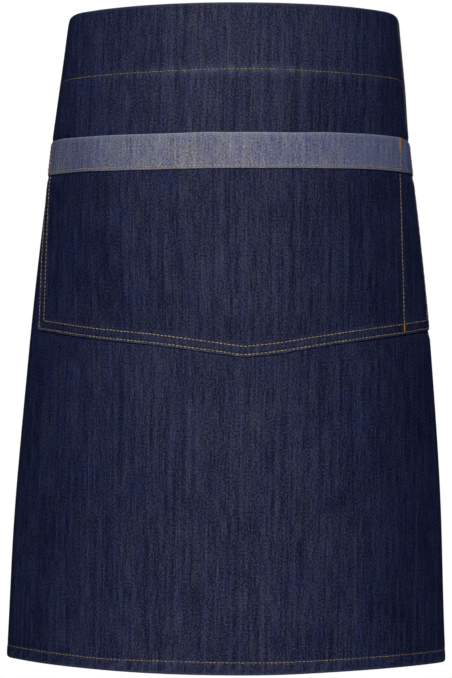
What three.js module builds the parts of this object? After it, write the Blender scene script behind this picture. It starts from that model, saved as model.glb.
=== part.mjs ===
// Denim waist apron: a wrapped panel with a turned-in waist facing, a wide patch pocket with a
// turned-out cuff, and two ties knotted at the centre of the back.
// Millimetres, +Z up, the front faces -Y. The origin is on the wearer's axis at the middle of the
// waistband, where the apron sits.
import * as THREE from "three";

// Sizes the piece is cut to
const apronLength = 500;
const apronWidth = 700;
const clothWall = 1.1;
const layerGap = 0.3;
const hemTurn = 10.5;
const hemLayers = 2;
const hemStep = 0.5;
const facingHeight = 51;
const facingWall = 1.0;
const pocketWidth = 368;
const pocketTop = 97.4;
const pocketSideHeight = 146.6;
const pocketMiddleHeight = 166.4;
const pocketTipShift = 2.7;
const pocketWall = 1.0;
const seamInset = 8;
const slotWidth = 35;
const cuffHeight = 26.8;
const tieWidth = 25;
const tieWall = 1.8;
const tieOverlap = 30;
const tieTailLength = 300;
const knotWidth = 22;
const knotHeight = 29;
const knotDepth = 12;

// How it is worn
const backGap = 66;
const hemSpan = 344.5;
const waistFront = 106;
const bellyDepth = 8;
const wearShift = 8;
const sideDip = 6;
const rightRise = 1.3;
const riseSpan = 230;
const hemTilt = 1.7;
const hemSway = 3.4;
const fluteDepth = 5;
const fluteStart = 235;
const fluteSpan = 92;
const mainGape = 8;
const slotGape = 1.6;
const frontCornerEnd = 82;
const backCornerEnd = 80;
const tailSpread = 7;

// Spacing of the facets: across, by the distance from the middle as a share of the hem's half span,
// and down, above and below the pocket's foot
const facetZones = [
  { until: 0.58, step: 14 },
  { until: 1.36, step: 7.8 },
  { until: Infinity, step: 11.5 },
];
const bandRowStep = 13;
const upperRowStep = 25;
const lowerRowStep = 42;

// The worn form at shares of the length. flare is the share of the way from the waist's half width to
// the hem's. bow, corner and side are radii of the front arcs as shares of the half width, and the
// back ones likewise. belly, dip, tilt and sway are shares of the sizes above.
const formColumns = ["at", "flare", "bow", "corner", "side", "backBow", "backCorner", "backSide",
  "belly", "dip", "tilt", "sway"];
const formRows = [
  [0.00, 0.000, 1.27, 0.29, 1.90, 1.15, 0.38, 1.5, 0.00, 1.00, 0.0, 0.45],
  [0.10, 0.125, 1.26, 0.27, 1.75, 1.15, 0.38, 1.5, 0.65, 0.85, 0.0, 0.25],
  [0.20, 0.250, 1.24, 0.23, 1.45, 1.15, 0.38, 1.4, 1.00, 0.25, 0.0, 0.00],
  [0.35, 0.455, 1.22, 0.17, 1.20, 1.15, 0.37, 1.2, 1.00, 0.00, 0.0, 0.00],
  [0.50, 0.638, 1.22, 0.13, 0.95, 1.15, 0.36, 1.1, 1.00, 0.00, 0.0, 0.00],
  [0.75, 0.865, 1.26, 0.12, 0.80, 1.16, 0.35, 1.0, 1.00, 0.00, 0.4, -0.60],
  [1.00, 1.000, 1.30, 0.12, 0.70, 1.16, 0.35, 0.9, 1.00, 0.00, 1.0, -1.00],
];

const cloths = {
  denim: 0x292b42,
  reversedDenim: 0x6a6d80,
};

const degree = Math.PI / 180;
const halfPanel = apronWidth / 2;
const halfPocket = pocketWidth / 2;
const pocketSeam = halfPocket - seamInset;
const dividerAt = pocketSeam - slotWidth;
const pocketFoot = pocketTop + pocketMiddleHeight;
const hemWall = hemLayers * clothWall;
const facingBack = clothWall + layerGap + facingWall;
const bandMiddle = facingHeight / 2;

function clamp(value, low, high) {
  return Math.min(Math.max(value, low), high);
}

function easing(share) {
  const t = clamp(share, 0, 1);
  return t * t * (3 - 2 * t);
}

// One column of the form at a share of the length: a cubic through the rows
function formAt(name, at) {
  const k = formColumns.indexOf(name);
  const last = formRows.length - 1;
  const slope = (i) => {
    const before = formRows[Math.max(i - 1, 0)];
    const after = formRows[Math.min(i + 1, last)];
    return (after[k] - before[k]) / (after[0] - before[0]);
  };
  let i = 0;
  while (i < last - 1 && at >= formRows[i + 1][0]) {
    i += 1;
  }
  const step = formRows[i + 1][0] - formRows[i][0];
  const t = (at - formRows[i][0]) / step;
  const rise = t * t * (3 - 2 * t);
  return formRows[i][k] * (1 - rise) + formRows[i + 1][k] * rise
    + step * slope(i) * t * (1 - t) * (1 - t) - step * slope(i + 1) * t * t * (1 - t);
}

// The six arcs of a level slice from the front middle to the back middle, as radii and headings.
// The front and the back each meet the widest point at a heading of a quarter turn.
function sliceArcs(half, at) {
  const share = Object.fromEntries(formColumns.map((name) => [name, formAt(name, at)]));
  const bowEnd = (bow, corner, side, cornerEnd) => {
    const reach = 1 - corner * Math.sin(cornerEnd) - side * (1 - Math.sin(cornerEnd));
    return Math.asin(reach / (bow - corner));
  };
  const frontTurn = frontCornerEnd * degree;
  const backTurn = backCornerEnd * degree;
  const frontBow = bowEnd(share.bow, share.corner, share.side, frontTurn);
  const backBow = bowEnd(share.backBow, share.backCorner, share.backSide, backTurn);
  return [
    { radius: share.bow * half, from: 0, to: frontBow },
    { radius: share.corner * half, from: frontBow, to: frontTurn },
    { radius: share.side * half, from: frontTurn, to: Math.PI / 2 },
    { radius: share.backSide * half, from: Math.PI / 2, to: Math.PI - backTurn },
    { radius: share.backCorner * half, from: Math.PI - backTurn, to: Math.PI - backBow },
    { radius: share.backBow * half, from: Math.PI - backBow, to: Math.PI },
  ];
}

function girth(half, at) {
  return 2 * sliceArcs(half, at).reduce((sum, arc) => sum + arc.radius * (arc.to - arc.from), 0);
}

const waistHalf = (apronWidth + backGap) / girth(1, 0);

// A point of the cloth: across from the panel's middle, down from its top edge, and lifted off its
// outer face
function onCloth(across, down, lift = 0) {
  const at = down / apronLength;
  const half = waistHalf + formAt("flare", at) * (hemSpan / 2 - waistHalf);
  const hand = Math.sign(across + wearShift) || 1;
  let left = Math.abs(across + wearShift);
  let x = 0;
  let y = 0;
  let heading = 0;
  for (const arc of sliceArcs(half, at)) {
    const isLast = arc.to === Math.PI;
    const run = isLast ? left : Math.min(left, arc.radius * (arc.to - arc.from));
    heading = arc.from + run / arc.radius;
    x += arc.radius * (Math.sin(heading) - Math.sin(arc.from));
    y += arc.radius * (Math.cos(arc.from) - Math.cos(heading));
    left -= run;
    if (left <= 0) {
      break;
    }
  }
  const beyond = Math.abs(across) - fluteStart;
  const flute = fluteDepth * at * at * easing(beyond / fluteSpan) * Math.sin(2 * Math.PI * beyond / fluteSpan);
  const out = lift + (beyond > 0 ? flute : 0);
  const turn = clamp(heading / (Math.PI / 2), 0, 1);
  const riseShare = clamp((across + wearShift) / riseSpan, 0, 1);
  const z = bandMiddle - down + rightRise * Math.sin(Math.PI * riseShare) ** 2
    - sideDip * formAt("dip", at) * turn ** 4 - hemTilt * formAt("tilt", at) * hand * x / half;
  return new THREE.Vector3(
    hand * (x + out * Math.sin(heading)) + hemSway * formAt("sway", at),
    y - waistFront - bellyDepth * formAt("belly", at) - out * Math.cos(heading),
    z,
  );
}

// A closed wall from two equal grids of points, [column][row], with its four rims
function wallGeometry(outer, inner) {
  const columns = outer.length;
  const rows = outer[0].length;
  const points = [...outer.flat(), ...inner.flat()];
  const index = [];
  const front = (i, j) => i * rows + j;
  const back = (i, j) => columns * rows + i * rows + j;
  const quad = (a, b, c, d) => index.push(a, b, c, a, c, d);
  for (let i = 0; i < columns - 1; i += 1) {
    for (let j = 0; j < rows - 1; j += 1) {
      quad(front(i, j), front(i, j + 1), front(i + 1, j + 1), front(i + 1, j));
      index.push(back(i, j), back(i + 1, j + 1), back(i, j + 1));
      index.push(back(i, j), back(i + 1, j), back(i + 1, j + 1));
    }
    quad(front(i, 0), front(i + 1, 0), back(i + 1, 0), back(i, 0));
    quad(front(i, rows - 1), back(i, rows - 1), back(i + 1, rows - 1), front(i + 1, rows - 1));
  }
  for (let j = 0; j < rows - 1; j += 1) {
    quad(front(0, j), back(0, j), back(0, j + 1), front(0, j + 1));
    quad(front(columns - 1, j), front(columns - 1, j + 1), back(columns - 1, j + 1), back(columns - 1, j));
  }
  return closedGeometry(points, index);
}

// Points and triangles as a geometry whose faces look outward
function closedGeometry(points, index) {
  let volume = 0;
  for (let k = 0; k < index.length; k += 3) {
    const [a, b, c] = [points[index[k]], points[index[k + 1]], points[index[k + 2]]];
    volume += a.dot(new THREE.Vector3().crossVectors(b, c)) / 6;
  }
  const turned = volume < 0 ? index.map((_, k) => index[k - (k % 3) + [0, 2, 1][k % 3]]) : index;
  const geometry = new THREE.BufferGeometry();
  geometry.setAttribute("position", new THREE.Float32BufferAttribute(points.flatMap((p) => p.toArray()), 3));
  geometry.setIndex(turned);
  geometry.computeVertexNormals();
  return geometry;
}

// The given lines in order, with even steps between neighbours
function spacedLines(lines, stepAt) {
  const sorted = [...lines].sort((a, b) => a - b).filter((value, k, all) => k === 0 || value - all[k - 1] > 0.1);
  const spaced = [sorted[0]];
  for (let k = 1; k < sorted.length; k += 1) {
    const [from, to] = [sorted[k - 1], sorted[k]];
    const count = Math.max(1, Math.round((to - from) / stepAt((from + to) / 2)));
    for (let n = 1; n <= count; n += 1) {
      spaced.push(from + (to - from) * n / count);
    }
  }
  return spaced;
}

// Columns shared by every layer, so that nested layers have the same facets
function columnsBetween(from, to) {
  const zoneLines = facetZones.slice(0, -1).map((zone) => zone.until * hemSpan / 2);
  const hemLine = halfPanel - hemTurn;
  const lines = [halfPocket, pocketSeam, hemLine, hemLine + hemStep, halfPanel, ...zoneLines];
  const zoneStep = (across) => facetZones.find((zone) => Math.abs(across) < zone.until * hemSpan / 2).step;
  const shared = spacedLines([0, dividerAt, ...lines, ...lines.map((line) => -line)], zoneStep);
  return [from, ...shared.filter((value) => value > from + 1 && value < to - 1), to];
}

// Rows shared by the panel and the pocket
function rowsBetween(from, to) {
  const lines = [0, facingHeight, pocketTop, pocketTop + cuffHeight, pocketTop + pocketSideHeight, pocketFoot,
    apronLength - hemTurn];
  const rowStep = (down) => {
    if (down < facingHeight) {
      return bandRowStep;
    }
    return down < pocketFoot ? upperRowStep : lowerRowStep;
  };
  return spacedLines(lines, rowStep).filter((value) => value > from && value < to);
}

// A layer of cloth: a chain of rows, each with the lift and the drop of its outer and inner point
function layerGeometry(columns, chain) {
  const place = (side) => columns.map((across) => chain(across).map((row) => {
    const [lift, down] = row[side];
    return onCloth(across, down, lift);
  }));
  return wallGeometry(place(0), place(1));
}

// The pocket's lower edge, a shallow V
function pocketBottom(across) {
  const reach = across < pocketTipShift ? halfPocket + pocketTipShift : halfPocket - pocketTipShift;
  const share = Math.abs(across - pocketTipShift) / reach;
  return pocketTop + pocketMiddleHeight - (pocketMiddleHeight - pocketSideHeight) * share;
}

// How far the pocket stands off the panel between its seams
function gapeAt(across, down) {
  const [from, to, most] = across < dividerAt
    ? [-pocketSeam, dividerAt, mainGape]
    : [dividerAt, pocketSeam, slotGape];
  const share = clamp((across - from) / (to - from), 0, 1);
  const depth = clamp((down - pocketTop) / (pocketBottom(across) - seamInset - pocketTop), 0, 1);
  return most * (1 - (2 * share - 1) ** 4) * (1 - depth ** 3);
}

// The top edge is turned in over the facing, and the three free edges are turned in on themselves
function panelGeometry() {
  const hemLine = apronLength - hemTurn;
  const foldBack = Math.max(facingBack, hemWall + 0.1 * clothWall);
  const chain = (across) => {
    const wall = Math.abs(across) > halfPanel - hemTurn + hemStep / 2 ? hemWall : clothWall;
    return [
      [[-foldBack, 0], [-foldBack, clothWall]],
      [[-0.5 * clothWall, 0], [-wall, clothWall]],
      [[0, 0.7 * clothWall], [-wall, 1.5 * clothWall]],
      ...rowsBetween(2 * clothWall, hemLine - hemStep).map((down) => [[0, down], [-wall, down]]),
      [[0, hemLine], [-wall, hemLine]],
      [[0, hemLine + hemStep], [-hemWall, hemLine + hemStep]],
      [[0, apronLength], [-hemWall, apronLength]],
    ];
  };
  return layerGeometry(columnsBetween(-halfPanel, halfPanel), chain);
}

function facingGeometry() {
  const reach = halfPanel - hemTurn - hemLayers * layerGap;
  const outerLift = -clothWall - layerGap;
  const top = clothWall + layerGap;
  const rows = [top, ...rowsBetween(2 * top, facingHeight), facingHeight];
  const chain = () => rows.map((down) => [[outerLift, down], [outerLift - facingWall, down]]);
  return layerGeometry(columnsBetween(-reach, reach), chain);
}

function pocketGeometry() {
  const top = pocketTop + pocketWall + layerGap;
  const levelRows = [top, ...rowsBetween(pocketTop + cuffHeight / 2, pocketTop + pocketSideHeight - 1)];
  const last = levelRows[levelRows.length - 1];
  const chain = (across) => {
    const bottom = pocketBottom(across);
    return [...levelRows, (last + bottom) / 2, bottom].map((down) => {
      const lift = layerGap + gapeAt(across, down);
      return [[lift + pocketWall, down], [lift, down]];
    });
  };
  return layerGeometry(columnsBetween(-halfPocket, halfPocket), chain);
}

// The cuff lies on the pocket's front and folds over its top edge
function cuffGeometry() {
  const chain = (across) => {
    const liftAt = (down) => layerGap + gapeAt(across, down);
    const inside = (down) => liftAt(down) + pocketWall + layerGap;
    const plainRow = (down) => [[inside(down) + pocketWall, down], [inside(down), down]];
    const fold = pocketTop + pocketWall;
    return [
      [[liftAt(pocketTop), pocketTop], [liftAt(fold), fold]],
      [[inside(pocketTop) + 0.4 * pocketWall, pocketTop], [inside(fold), fold]],
      [[inside(fold) + pocketWall, fold], [inside(fold), fold + 0.8 * pocketWall]],
      plainRow(pocketTop + cuffHeight / 2),
      plainRow(pocketTop + cuffHeight),
    ];
  };
  return layerGeometry(columnsBetween(-halfPocket, halfPocket), chain);
}

// Each tie is sewn inside the band's end and runs on to the knot
const tieLift = -Math.max(facingBack, hemWall) - layerGap;

// The distance round the cloth from the front middle to the back middle
function backMiddle(down) {
  const at = down / apronLength;
  return girth(waistHalf + formAt("flare", at) * (hemSpan / 2 - waistHalf), at) / 2;
}

function tieGeometry(hand) {
  const start = halfPanel - tieOverlap;
  const count = Math.round((backMiddle(bandMiddle) - start) / (tieOverlap / 4));
  const downs = [-0.5, 0, 0.5].map((share) => bandMiddle + share * tieWidth);
  const place = (lift) => Array.from({ length: count + 1 }, (_, k) => downs.map((down) => {
    const end = backMiddle(down) - hand * wearShift - knotWidth / 2 - 2.5 * layerGap;
    return onCloth(hand * (start + (end - start) * k / count), down, lift);
  }));
  return wallGeometry(place(tieLift), place(tieLift - tieWall));
}

// The knot is a plain block with bevelled faces
const knotCentre = onCloth(backMiddle(bandMiddle) - wearShift, bandMiddle, tieLift - tieWall / 2);

function knotGeometry() {
  const levels = [
    { y: -0.5, shrink: 0.3 * knotDepth },
    { y: -0.25, shrink: 0 },
    { y: 0.25, shrink: 0 },
    { y: 0.5, shrink: 0.3 * knotDepth },
  ];
  const bevel = 0.1 * knotDepth;
  const points = [];
  for (const level of levels) {
    const w = knotWidth / 2 - level.shrink;
    const h = knotHeight / 2 - level.shrink;
    for (const [sx, sz] of [[1, 1], [-1, 1], [-1, -1], [1, -1]]) {
      const corner = sx * sz > 0 ? [[w, h - bevel], [w - bevel, h]] : [[w - bevel, h], [w, h - bevel]];
      for (const [x, z] of corner) {
        points.push(new THREE.Vector3(sx * x, level.y * knotDepth, sz * z).add(knotCentre));
      }
    }
  }
  const around = 8;
  const index = [];
  for (let k = 0; k < levels.length - 1; k += 1) {
    for (let i = 0; i < around; i += 1) {
      const a = k * around + i;
      const b = k * around + (i + 1) % around;
      index.push(a, b, b + around, a, b + around, a + around);
    }
  }
  const lastRing = (levels.length - 1) * around;
  for (let i = 1; i < around - 1; i += 1) {
    index.push(0, i + 1, i, lastRing, lastRing + i, lastRing + i + 1);
  }
  return closedGeometry(points, index);
}

// The tie's tails hang from the knot, one in front of the other
function tailGeometry(hand) {
  const start = knotCentre.clone().add(new THREE.Vector3(0, hand * (tieWall + layerGap) / 2, 0));
  const knotFoot = -knotHeight / 2 - layerGap;
  const lean = tailSpread * degree;
  const along = new THREE.Vector3(hand * Math.sin(lean), 0, -Math.cos(lean));
  const across = new THREE.Vector3(Math.cos(lean), 0, hand * Math.sin(lean));
  const shares = [-0.5, 0, 0.5];
  const lengths = [0, 0.25, 0.5, 0.75, 1];
  const topDrop = tieWidth / 2 * Math.sin(lean);
  const place = (side) => shares.map((share) => lengths.map((length) => start.clone()
    .add(new THREE.Vector3(0, side * tieWall / 2, knotFoot - topDrop))
    .addScaledVector(along, length * tieTailLength)
    .addScaledVector(across, share * tieWidth)));
  return wallGeometry(place(-1), place(1));
}

const pieces = [
  { name: "apron_panel", geometry: panelGeometry(), cloth: "denim" },
  { name: "waist_facing", geometry: facingGeometry(), cloth: "denim" },
  { name: "pocket", geometry: pocketGeometry(), cloth: "denim" },
  { name: "pocket_cuff", geometry: cuffGeometry(), cloth: "reversedDenim" },
  { name: "tie_left", geometry: tieGeometry(-1), cloth: "denim" },
  { name: "tie_right", geometry: tieGeometry(1), cloth: "denim" },
  { name: "tie_knot", geometry: knotGeometry(), cloth: "denim" },
  { name: "tie_tail_left", geometry: tailGeometry(-1), cloth: "denim" },
  { name: "tie_tail_right", geometry: tailGeometry(1), cloth: "denim" },
];

const root = new THREE.Group();
root.name = "waist_apron";
for (const piece of pieces) {
  const material = new THREE.MeshStandardMaterial({ color: cloths[piece.cloth], roughness: 0.9, metalness: 0 });
  material.name = piece.cloth === "denim" ? "indigo_denim" : "reversed_denim";
  const mesh = new THREE.Mesh(piece.geometry, material);
  mesh.name = piece.name;
  root.add(mesh);
}

export default root;
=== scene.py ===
import math
import bpy
import numpy as np
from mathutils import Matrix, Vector


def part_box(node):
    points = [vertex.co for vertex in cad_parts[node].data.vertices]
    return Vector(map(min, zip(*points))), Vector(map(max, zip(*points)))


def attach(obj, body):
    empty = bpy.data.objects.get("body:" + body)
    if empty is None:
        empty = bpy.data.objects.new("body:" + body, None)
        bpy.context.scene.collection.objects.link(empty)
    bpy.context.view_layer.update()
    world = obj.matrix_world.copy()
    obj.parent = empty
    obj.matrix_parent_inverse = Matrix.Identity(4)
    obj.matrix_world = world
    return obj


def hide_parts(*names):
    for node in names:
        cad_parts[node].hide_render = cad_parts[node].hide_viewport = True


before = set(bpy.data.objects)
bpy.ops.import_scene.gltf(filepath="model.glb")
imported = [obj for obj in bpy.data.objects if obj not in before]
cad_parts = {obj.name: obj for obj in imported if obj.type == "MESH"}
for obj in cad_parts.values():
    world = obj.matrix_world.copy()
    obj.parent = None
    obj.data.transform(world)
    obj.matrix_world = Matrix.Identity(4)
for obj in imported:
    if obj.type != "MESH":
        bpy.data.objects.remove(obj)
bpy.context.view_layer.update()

# Denim waist apron. Cloth is worked out in millimetres, in cloth places: across from the panel's
# middle, down from its top edge, and lift off its outer face. Meshes are in metres.

# The worn form, as the solids have it but for a slightly shifted top and hem

wornForm = {
    "apronLength": 500.0,
    "apronWidth": 700.0,
    "facingHeight": 51.0,
    "backGap": 66.0,
    "hemSpan": 344.5,
    "waistFront": 106.0,
    "bellyDepth": 8.0,
    "wearShift": 8.0,
    "sideDip": 6.0,
    "rightRise": 1.3,
    "riseSpan": 230.0,
    "hemTilt": 2.0,
    "hemSway": 3.4,
    "hemSag": 0.35,         # how far the hem hangs below its level
    "fluteDepth": 5.0,
    "fluteStart": 235.0,
    "fluteSpan": 92.0,
    "frontCornerEnd": 82.0,
    "backCornerEnd": 80.0,
}

# each row is at a share of the length; the columns are shares of the half width or of the sizes above
formColumns = ["at", "flare", "bow", "corner", "side", "backBow", "backCorner", "backSide",
               "belly", "dip", "tilt", "sway"]
formRows = np.array([
    [0.00, 0.000, 1.27, 0.29, 1.90, 1.15, 0.38, 1.5, 0.00, 1.00, 0.0, 0.80],
    [0.10, 0.125, 1.26, 0.27, 1.75, 1.15, 0.38, 1.5, 0.65, 0.85, 0.0, 0.52],
    [0.20, 0.250, 1.24, 0.23, 1.45, 1.15, 0.38, 1.4, 1.00, 0.25, 0.0, 0.04],
    [0.35, 0.455, 1.22, 0.17, 1.20, 1.15, 0.37, 1.2, 1.00, 0.00, 0.0, 0.00],
    [0.50, 0.638, 1.22, 0.13, 0.95, 1.15, 0.36, 1.1, 1.00, 0.00, 0.0, 0.00],
    [0.75, 0.865, 1.26, 0.12, 0.80, 1.16, 0.35, 1.0, 1.00, 0.00, 0.4, -0.45],
    [1.00, 1.000, 1.30, 0.12, 0.70, 1.16, 0.35, 0.9, 1.00, 0.00, 1.0, -0.95],
])

panelSizes = {
    "wall": 1.05,           # one layer of the denim
    "foldGap": 0.12,        # room between turned layers
    "hemTurn": 10.5,
    "sideTurn": 10.5,
    "sideExtra": 0.85,      # how much thicker the side hems are
    "bandLine": 50.2,       # the waistband's row of stitches, from the top at the middle
    "bandSag": 1.1,         # how far that row sags away from the middle
    "hemLine": 490.7,
    "sideLine": 341.0,
    "foldWave": 0.55,       # depth of the slow folds of the cloth
    "ropeDepth": 0.2,       # twist of the hem between its edge and its stitches
    "ropePitch": 11.5,
    "sideRopePitch": 9.1,
    "bandGroove": 0.32,     # how deep each row of stitches sinks in
    "hemGroove": 0.4,
    "sideGroove": 0.3,
    "bandPucker": 0.2,      # height of the puckers beside a row
    "hemPucker": 0.22,
    "topWave": 0.18,
}

pocketSizes = {
    "width": 368.0,
    "top": 98.1,
    "sideHeight": 145.9,
    "middleHeight": 165.7,
    "tipShift": 1.5,
    "wall": 0.8,
    "layerGap": 0.15,
    "drawnLeft": 7.0,       # how far the worn pocket's left edge is drawn in at its top
    "drawnLeftFoot": 4.5,
    "drawnRight": 3.5,
    "drawnRightFoot": 2.3,
    "slotDrawnFoot": 3.2,
    "seamInset": 8.0,
    "slotWidth": 35.0,
    "outerLine": 1.9,       # twin needle rows, from the pocket's edge
    "innerLine": 8.1,
    "mainGape": 6.0,
    "slotGape": 0.5,
    "gapeEase": 0.34,       # the share of a mouth's width over which it opens
    "borderRise": 0.4,      # the turned-in border under the twin rows
    "pressed": 1.2,         # how deep the pocket's sewn sides sit in the panel
    "cuffPressed": 0.9,
    "pressedFrom": 116.0,   # across: the sides sink in from here over the span, as far as the end
    "pressedSpan": 44.0,
    "pressedEnd": 192.0,
    "pressedFade": 12.0,
    "drawnStart": 55.0,     # down: the panel draws in above the cuff over this span
    "drawnSpan": 36.0,
    "mouthStart": 93.0,
    "cuffFoot": 124.0,
    "cuffOut": 1.8,         # the cuff's outer and inner face, off the pocket's back
    "cuffIn": 0.95,
    "cuffHeight": 26.8,
    "cuffLine": 24.7,       # the cuff's row of stitches, from its top
}

halfPanel = wornForm["apronWidth"] / 2
halfPocket = pocketSizes["width"] / 2
pocketSeam = halfPocket - pocketSizes["seamInset"]
dividerAt = pocketSeam - pocketSizes["slotWidth"]
bandMiddle = wornForm["facingHeight"] / 2
edgeRound = 0.9


# eases from 0 to 1 with level ends
def easing(share):
    t = np.clip(share, 0, 1)
    return t * t * (3 - 2 * t)


# a bell of height 1 at 0 that is narrow for a small width
def bell(distance, width):
    return np.exp(-(distance / width) ** 2)


# the sum of bells given as rows of height, middle and width
def bellsAt(across, rows):
    return sum(height * bell(across - middle, width) for height, middle, width in rows)


# how far a cut edge is rounded: 1 - sqrt(1 - q^2), where q grows to 1 at the edge itself
def roundingAt(fromEdge):
    q = np.clip(1 - fromEdge / edgeRound, 0, 1)
    return 1 - np.sqrt(1 - q * q)


# one column of the form: a cubic through the rows, sloped at each row by its neighbours
def formAt(name, at):
    xs, values = formRows[:, 0], formRows[:, formColumns.index(name)]
    slopes = np.gradient(values, xs)
    slopes[1:-1] = (values[2:] - values[:-2]) / (xs[2:] - xs[:-2])
    i = np.clip(np.searchsorted(xs, at, side="right") - 1, 0, len(xs) - 2)
    step = xs[i + 1] - xs[i]
    t = (at - xs[i]) / step
    rise = t * t * (3 - 2 * t)
    return (values[i] * (1 - rise) + values[i + 1] * rise
            + step * (slopes[i] * t * (1 - t) ** 2 - slopes[i + 1] * t * t * (1 - t)))


# radii and headings of the six arcs of a level slice, from the front middle to the back middle
def sliceArcs(half, at):
    shares = {name: formAt(name, at) for name in formColumns[2:8]}
    frontTurn, backTurn = math.radians(wornForm["frontCornerEnd"]), math.radians(wornForm["backCornerEnd"])

    def bowEnd(bow, corner, side, turn):
        return np.arcsin((1 - corner * math.sin(turn) - side * (1 - math.sin(turn))) / (bow - corner))
    front = bowEnd(shares["bow"], shares["corner"], shares["side"], frontTurn)
    back = bowEnd(shares["backBow"], shares["backCorner"], shares["backSide"], backTurn)
    radii = [half * shares[n] for n in ("bow", "corner", "side", "backSide", "backCorner", "backBow")]
    level = 0 * front
    headings = [level, front, level + frontTurn, level + math.pi / 2, level + math.pi - backTurn,
                math.pi - back, level + math.pi]
    return radii, headings


def girthAt(half, at):
    radii, headings = sliceArcs(half, at)
    return 2 * sum(r * (b - a) for r, a, b in zip(radii, headings[:-1], headings[1:]))


waistHalf = (wornForm["apronWidth"] + wornForm["backGap"]) / float(girthAt(1.0, np.array(0.0)))


def halfWidthAt(at):
    return waistHalf + formAt("flare", at) * (wornForm["hemSpan"] / 2 - waistHalf)


# slow folds that every layer shares: height, repeats for each metre across and down, and phase
foldWaves = [(0.5, 6.1, 1.3, 0.4), (0.35, 10.7, -2.9, 2.1), (0.3, 3.3, 5.7, 4.0), (0.2, 15.3, 3.1, 1.2)]


# the sum of height * sin(2 pi (u a + v d) + phase), none at the top and strongest at the hem
def slowFolds(across, down):
    a, d = across / 1000, down / 1000
    waves = sum(height * np.sin(2 * np.pi * (u * a + v * d) + phase) for height, u, v, phase in foldWaves)
    return panelSizes["foldWave"] * waves * easing(down / 60) * (0.45 + 0.9 * easing((down - 250) / 250))


# how deep the pocket's sewn sides and the cuff's ends sit in the panel: the side's share, times the
# pocket's depth from above the mouth to its slanting foot and the cuff's depth over its own height
def pressedIn(across, down):
    sizes = pocketSizes
    away = np.abs(across)
    side = (easing((away - sizes["pressedFrom"]) / sizes["pressedSpan"])
            * (1 - easing((away - sizes["pressedEnd"]) / sizes["pressedFade"])))
    fromMouth = down - sizes["mouthStart"]
    drawnIn = 0.3 * easing((down - sizes["drawnStart"]) / sizes["drawnSpan"]) + 0.7 * easing(fromMouth / 6)
    rise = (sizes["middleHeight"] - sizes["sideHeight"]) * np.minimum(away / halfPocket, 1)
    foot = sizes["top"] + sizes["middleHeight"] - rise
    pocketRows = drawnIn * (1 - easing((down - foot - 0.5) / 7))
    cuffRows = easing(fromMouth / 5) * (1 - easing((down - sizes["cuffFoot"]) / 7))
    return side * (sizes["pressed"] * pocketRows + sizes["cuffPressed"] * cuffRows)


# a cloth place in millimetres of the worn frame: it walks the slice's arcs by the distance from
# the front middle, x += r (sin b - sin a) and y += r (cos a - cos b) for an arc from a to b, and
# moves out along the slice's normal by the lift and the folds
def clothPoint(across, down, lift):
    across, down, lift = np.broadcast_arrays(*(np.asarray(value, float) for value in (across, down, lift)))
    at = down / wornForm["apronLength"]
    half = halfWidthAt(at)
    walked = across + wornForm["wearShift"]
    hand, left = np.where(walked < 0, -1.0, 1.0), np.abs(walked)
    radii, headings = sliceArcs(half, at)
    x, y, heading = 0 * left, 0 * left, 0 * left
    for k, radius in enumerate(radii):
        run = left if k == 5 else np.minimum(left, radius * (headings[k + 1] - headings[k]))
        turned = headings[k] + run / radius
        x = x + radius * (np.sin(turned) - np.sin(headings[k]))
        y = y + radius * (np.cos(headings[k]) - np.cos(turned))
        heading = np.where(left > 0, turned, heading)
        left = left - run
    beyond = (np.abs(across) - wornForm["fluteStart"]) / wornForm["fluteSpan"]
    flute = wornForm["fluteDepth"] * at * at * easing(beyond) * np.sin(2 * np.pi * beyond)
    out = lift + np.where(beyond > 0, flute, 0) + slowFolds(across, down) - pressedIn(across, down)
    turn = np.clip(heading / (np.pi / 2), 0, 1)
    riseShare = np.clip(walked / wornForm["riseSpan"], 0, 1)
    rise = wornForm["rightRise"] * (0.45 + 0.55 * easing((down - 55) / 40))
    z = (bandMiddle - down + rise * np.sin(np.pi * riseShare) ** 2
         - wornForm["sideDip"] * formAt("dip", at) * turn ** 4
         - wornForm["hemTilt"] * formAt("tilt", at) * hand * x / half
         - wornForm["hemSag"] * easing((at - 0.6) / 0.4))
    front = wornForm["waistFront"] + wornForm["bellyDepth"] * formAt("belly", at)
    return np.stack([hand * (x + out * np.sin(heading)) + wornForm["hemSway"] * formAt("sway", at),
                     y - front - out * np.cos(heading), z], -1)


# a soft random wave along one distance, from -1 to 1: sines near one wavelength with seeded phases
def wander(distance, wavelength, seed):
    rng = np.random.default_rng(seed)
    total = 0 * distance
    for share in (0.61, 0.83, 1.0, 1.27, 1.7):
        total = total + np.sin(2 * np.pi * distance / (wavelength * share) + rng.uniform(0, 6.28))
    return total / 3.2


# Meshes

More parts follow.
